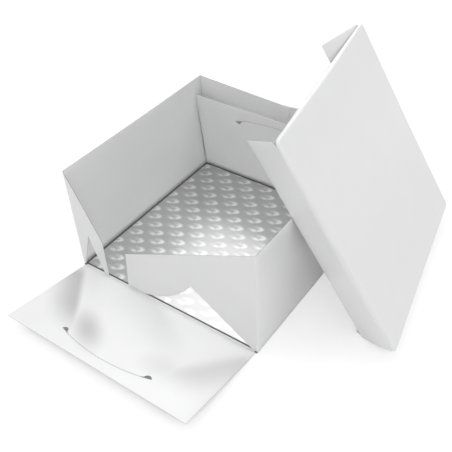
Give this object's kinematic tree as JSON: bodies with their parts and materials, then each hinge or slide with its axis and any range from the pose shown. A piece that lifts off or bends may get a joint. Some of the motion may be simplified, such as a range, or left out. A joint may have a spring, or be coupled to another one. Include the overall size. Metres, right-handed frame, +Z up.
{
  "type": "cake box",
  "caption": "Square white carton cake box with folding front and rear panels, notched front flaps, a shallow loose lid leaning on its side wall and a silver foil cake board inside.",
  "frame": {"origin": "middle of the base's underside, halfway between the outsides of the side walls and of the front and rear flaps", "axes": "+X to the right, +Y to the back, +Z up; the front, with the lowered panel, faces -Y"},
  "size_m": [0.4186, 0.4822, 0.2685],
  "materials": {
    "white_carton": "satin",
    "silver_foil": "satin",
    "grey_board": "matte",
    "backing_paper": "matte"
  },
  "bodies": {
    "base": {"base_panel": "white_carton", "left_wall": "white_carton", "right_wall": "white_carton", "rear_left_flap": "white_carton", "rear_right_flap": "white_carton"},
    "front_panel": {"front_panel": "white_carton"},
    "rear_panel": {"rear_panel": "white_carton"},
    "front_left_flap": {"front_left_flap": "white_carton"},
    "front_right_flap": {"front_right_flap": "white_carton"},
    "cake_board": {"board_core": "grey_board", "board_foil": "silver_foil", "board_backing": "backing_paper"},
    "lid": {"lid_panel": "white_carton", "lid_near_rim": "white_carton", "lid_far_rim": "white_carton", "lid_foot_rim": "white_carton", "lid_foot_tab_near": "white_carton", "lid_foot_tab_far": "white_carton"},
    "lid_top_rim": {"lid_top_rim": "white_carton", "lid_top_tab_near": "white_carton", "lid_top_tab_far": "white_carton"}
  },
  "joints": [
    {"name": "front_panel_fold", "type": "hinge", "parent": "base", "child": "front_panel", "pos_m": [0, -0.1404, 0.0006], "axis": [-1, 0, 0], "range_deg": [-8.6, 81.4]},
    {"name": "front_left_flap_fold", "type": "hinge", "parent": "base", "child": "front_left_flap", "pos_m": [-0.1392, -0.1394, 0.08], "axis": [0, 0, 1], "range_deg": [0, 90]},
    {"name": "front_right_flap_fold", "type": "hinge", "parent": "base", "child": "front_right_flap", "pos_m": [0.1392, -0.1394, 0.08], "axis": [0, 0, -1], "range_deg": [0, 90]},
    {"name": "rear_panel_fold", "type": "hinge", "parent": "base", "child": "rear_panel", "pos_m": [0, 0.1378, 0.0006], "axis": [-1, 0, 0], "range_deg": [-47.7, 6.3]},
    {"name": "board_lift", "type": "slide", "parent": "base", "child": "cake_board", "axis": [0, 0, 1], "range_m": [0, 0.026]},
    {"name": "lid_lift", "type": "slide", "parent": "base", "child": "lid", "axis": [0, 0, 1], "range_m": [0, 0.2]},
    {"name": "lid_top_rim_fold", "type": "hinge", "parent": "lid", "child": "lid_top_rim", "pos_m": [0.11043, 0.04467, 0.26759], "axis": [-0.1788, 0.9839, 0], "range_deg": [0, 30]}
  ]
}
